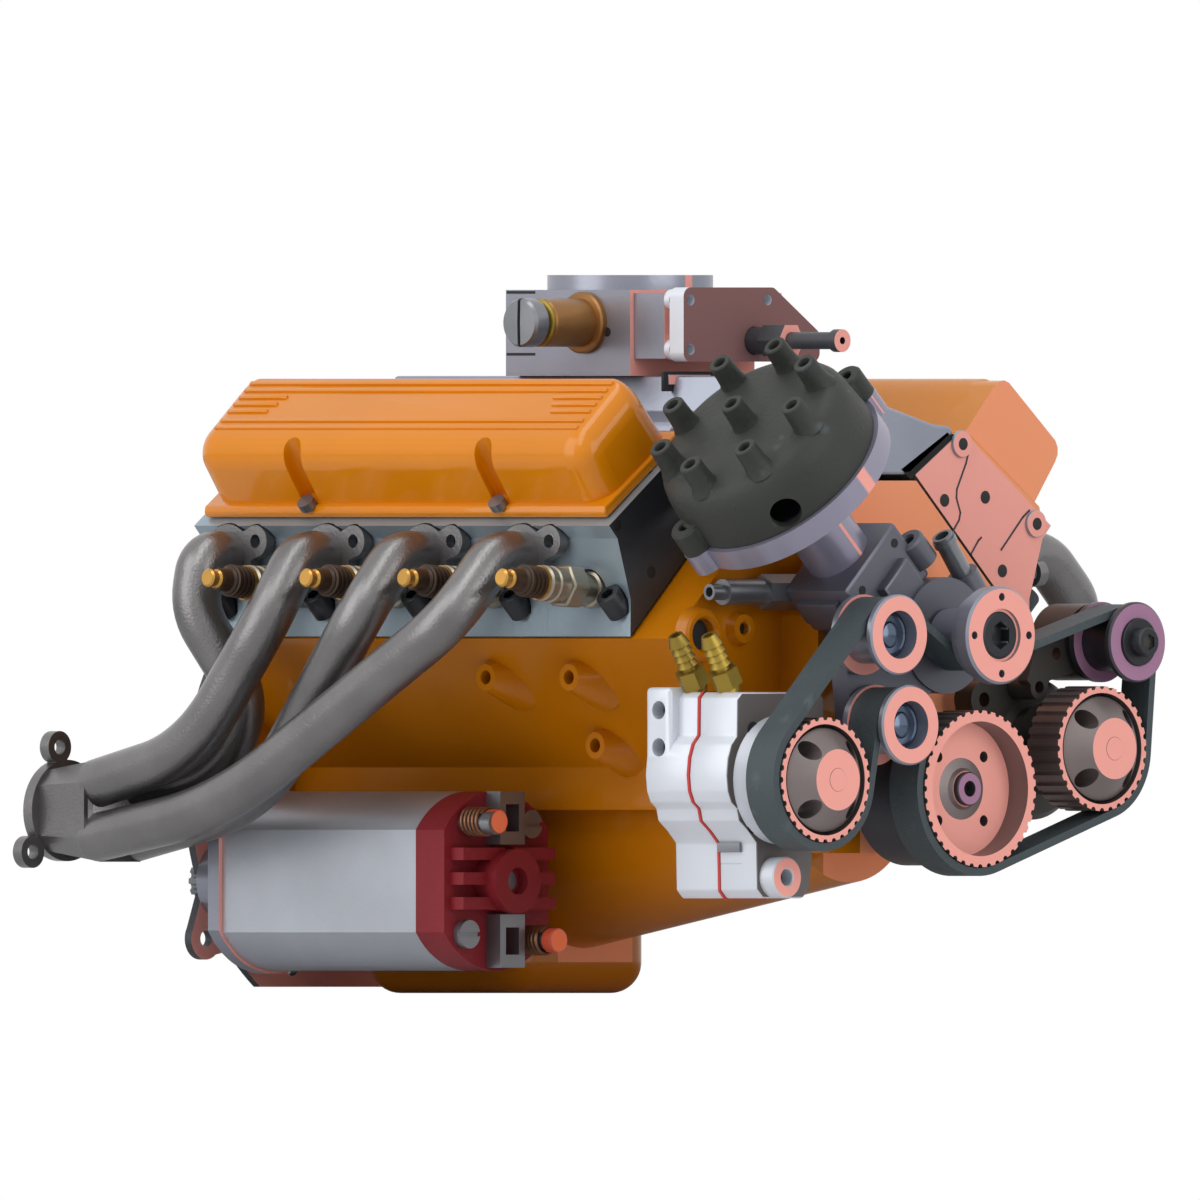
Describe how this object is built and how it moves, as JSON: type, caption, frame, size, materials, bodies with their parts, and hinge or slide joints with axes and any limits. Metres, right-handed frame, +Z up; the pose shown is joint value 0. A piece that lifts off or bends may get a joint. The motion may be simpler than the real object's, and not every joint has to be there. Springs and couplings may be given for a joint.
{
  "type": "v8 engine",
  "caption": "Small-scale V8 engine with belt-driven accessories, distributor, throttle body, starter motor and swept four-into-one exhaust manifolds.",
  "frame": {"origin": "on the crankshaft's axis, at the rear face of the cylinder block", "axes": "+Z up, +Y rearwards along the crankshaft, -Y towards the belt drive, +X towards the bank that stands further forward"},
  "size_m": [0.1324, 0.1614, 0.116],
  "materials": {
    "block_paint": "gloss orange engine enamel",
    "cover_paint": "gloss orange engine enamel",
    "head_casting": "fine cast",
    "intake_casting": "fine cast",
    "machined_aluminium": "machined",
    "white_aluminium": "bead blasted",
    "tube_steel": "blasted",
    "plug_plating": "plated",
    "dark_plate": "blackened",
    "black_screws": "black oxide",
    "bright_screws": "plated",
    "pulley_steel": "machined",
    "damper_steel": "satin black",
    "purple_anodised": "anodised",
    "belt_rubber": "moulded",
    "cap_moulding": "grained",
    "rotor_moulding": "moulded",
    "brass": "machined",
    "gasket_paper": "pressed",
    "red_seal": "moulded",
    "starter_shell": "bright",
    "red_moulding": "moulded",
    "inner_iron": "machined",
    "inner_steel": "ground"
  },
  "bodies": {
    "engine": {"accessory_housing": "dark_plate", "brush_terminals": "bright_screws", "connecting_rods": "inner_steel", "coolant_nipples": "bright_screws", "cover_screws": "bright_screws", "crank_throws": "inner_steel", "cylinder_block": "block_paint", "cylinder_sleeves": "inner_iron", "distributor_cap": "cap_moulding", "distributor_housing": "machined_aluminium", "drive_belt": "belt_rubber", "far_cylinder_head": "head_casting", "far_exhaust_manifold": "tube_steel", "far_valve_cover": "cover_paint", "gaskets": "gasket_paper", "head_bolts": "black_screws", "hose_nozzle": "dark_plate", "idle_valve": "brass", "intake_manifold": "intake_casting", "lifters_and_pushrods": "inner_steel", "main_bearing_caps": "inner_iron", "near_cylinder_head": "head_casting", "near_exhaust_manifold": "tube_steel", "near_valve_cover": "cover_paint", "oil_pan": "block_paint", "oil_pump_front": "white_aluminium", "oil_pump_gasket": "red_seal", "oil_pump_rear": "white_aluminium", "pistons_and_rings": "machined_aluminium", "pump_nipples": "brass", "rear_plate": "dark_plate", "rocker_arms": "inner_steel", "sensor_plate": "dark_plate", "spark_plugs": "plug_plating", "starter_can": "starter_shell", "starter_end_bell": "red_moulding", "starter_mounting_plate": "machined_aluminium", "tensioner_bracket": "dark_plate", "throttle_body": "machined_aluminium", "timing_chain": "inner_steel", "timing_cover": "block_paint", "valve_springs": "inner_steel", "valves": "inner_steel", "water_pump_housing": "machined_aluminium", "wrist_pins": "inner_steel"},
    "crank": {"crank_pulley": "pulley_steel", "crank_damper": "damper_steel", "crank_ends": "inner_steel", "flywheel": "pulley_steel"},
    "accessory_drive": {"accessory_pulley": "pulley_steel"},
    "oil_pump_drive": {"oil_pump_pulley": "pulley_steel"},
    "oil_pump_idle": {"oil_pump_idle_gear": "inner_steel"},
    "upper_idler": {"upper_idler": "machined_aluminium"},
    "lower_idler": {"lower_idler": "machined_aluminium"},
    "tensioner_idler": {"tensioner_idler": "purple_anodised"},
    "water_pump": {"water_pump_hub": "machined_aluminium"},
    "camshaft": {"camshaft": "inner_iron"},
    "distributor": {"distributor_rotor": "rotor_moulding"},
    "throttle": {"throttle_plate": "inner_steel"},
    "starter": {"starter_armature": "inner_steel"}
  },
  "joints": [
    {"name": "crank_spin", "type": "hinge", "parent": "engine", "child": "crank", "pos_m": [0, -0.1405, 0], "axis": [0, 1, 0], "continuous": true},
    {"name": "accessory_spin", "type": "hinge", "parent": "engine", "child": "accessory_drive", "pos_m": [0.0278, -0.1405, 0.0065], "axis": [0, 1, 0], "continuous": true},
    {"name": "oil_pump_spin", "type": "hinge", "parent": "engine", "child": "oil_pump_drive", "pos_m": [-0.0354, -0.1405, 0.00145], "axis": [0, 1, 0], "continuous": true},
    {"name": "oil_idle_spin", "type": "hinge", "parent": "engine", "child": "oil_pump_idle", "pos_m": [-0.0354, -0.1213, -0.00945], "axis": [0, 1, 0], "continuous": true},
    {"name": "upper_idler_spin", "type": "hinge", "parent": "engine", "child": "upper_idler", "pos_m": [-0.0197, -0.1418, 0.0249], "axis": [0, 1, 0], "continuous": true},
    {"name": "lower_idler_spin", "type": "hinge", "parent": "engine", "child": "lower_idler", "pos_m": [-0.0171, -0.1418, 0.0103], "axis": [0, 1, 0], "continuous": true},
    {"name": "tensioner_spin", "type": "hinge", "parent": "engine", "child": "tensioner_idler", "pos_m": [0.0347, -0.1418, 0.0237], "axis": [0, 1, 0], "continuous": true},
    {"name": "water_pump_spin", "type": "hinge", "parent": "engine", "child": "water_pump", "pos_m": [0, -0.1454, 0.0248], "axis": [0, 1, 0], "continuous": true},
    {"name": "camshaft_spin", "type": "hinge", "parent": "engine", "child": "camshaft", "pos_m": [0, -0.06, 0.023], "axis": [0, 1, 0], "continuous": true},
    {"name": "distributor_spin", "type": "hinge", "parent": "engine", "child": "distributor", "pos_m": [0, -0.1228, 0.023], "axis": [-0.7071, 0, 0.7071], "continuous": true},
    {"name": "starter_spin", "type": "hinge", "parent": "engine", "child": "starter", "pos_m": [-0.0322, -0.0556, -0.0149], "axis": [0, 1, 0], "continuous": true},
    {"name": "throttle_turn", "type": "hinge", "parent": "engine", "child": "throttle", "pos_m": [0, -0.0605, 0.0753], "axis": [0, 1, 0], "range_deg": [0, 80], "stiffness_Nm_per_rad": 0.0002}
  ],
  "couplings": [
    {"joint": "accessory_spin", "follows": "crank_spin", "ratio": 1.25},
    {"joint": "oil_pump_spin", "follows": "crank_spin", "ratio": 1.25},
    {"joint": "oil_idle_spin", "follows": "crank_spin", "ratio": -1.25},
    {"joint": "upper_idler_spin", "follows": "crank_spin", "ratio": 2.4589},
    {"joint": "tensioner_spin", "follows": "crank_spin", "ratio": 2.4589},
    {"joint": "lower_idler_spin", "follows": "crank_spin", "ratio": -2.4589},
    {"joint": "water_pump_spin", "follows": "crank_spin", "ratio": -2.6529},
    {"joint": "camshaft_spin", "follows": "crank_spin", "ratio": 0.5},
    {"joint": "distributor_spin", "follows": "crank_spin", "ratio": 0.5}
  ]
}
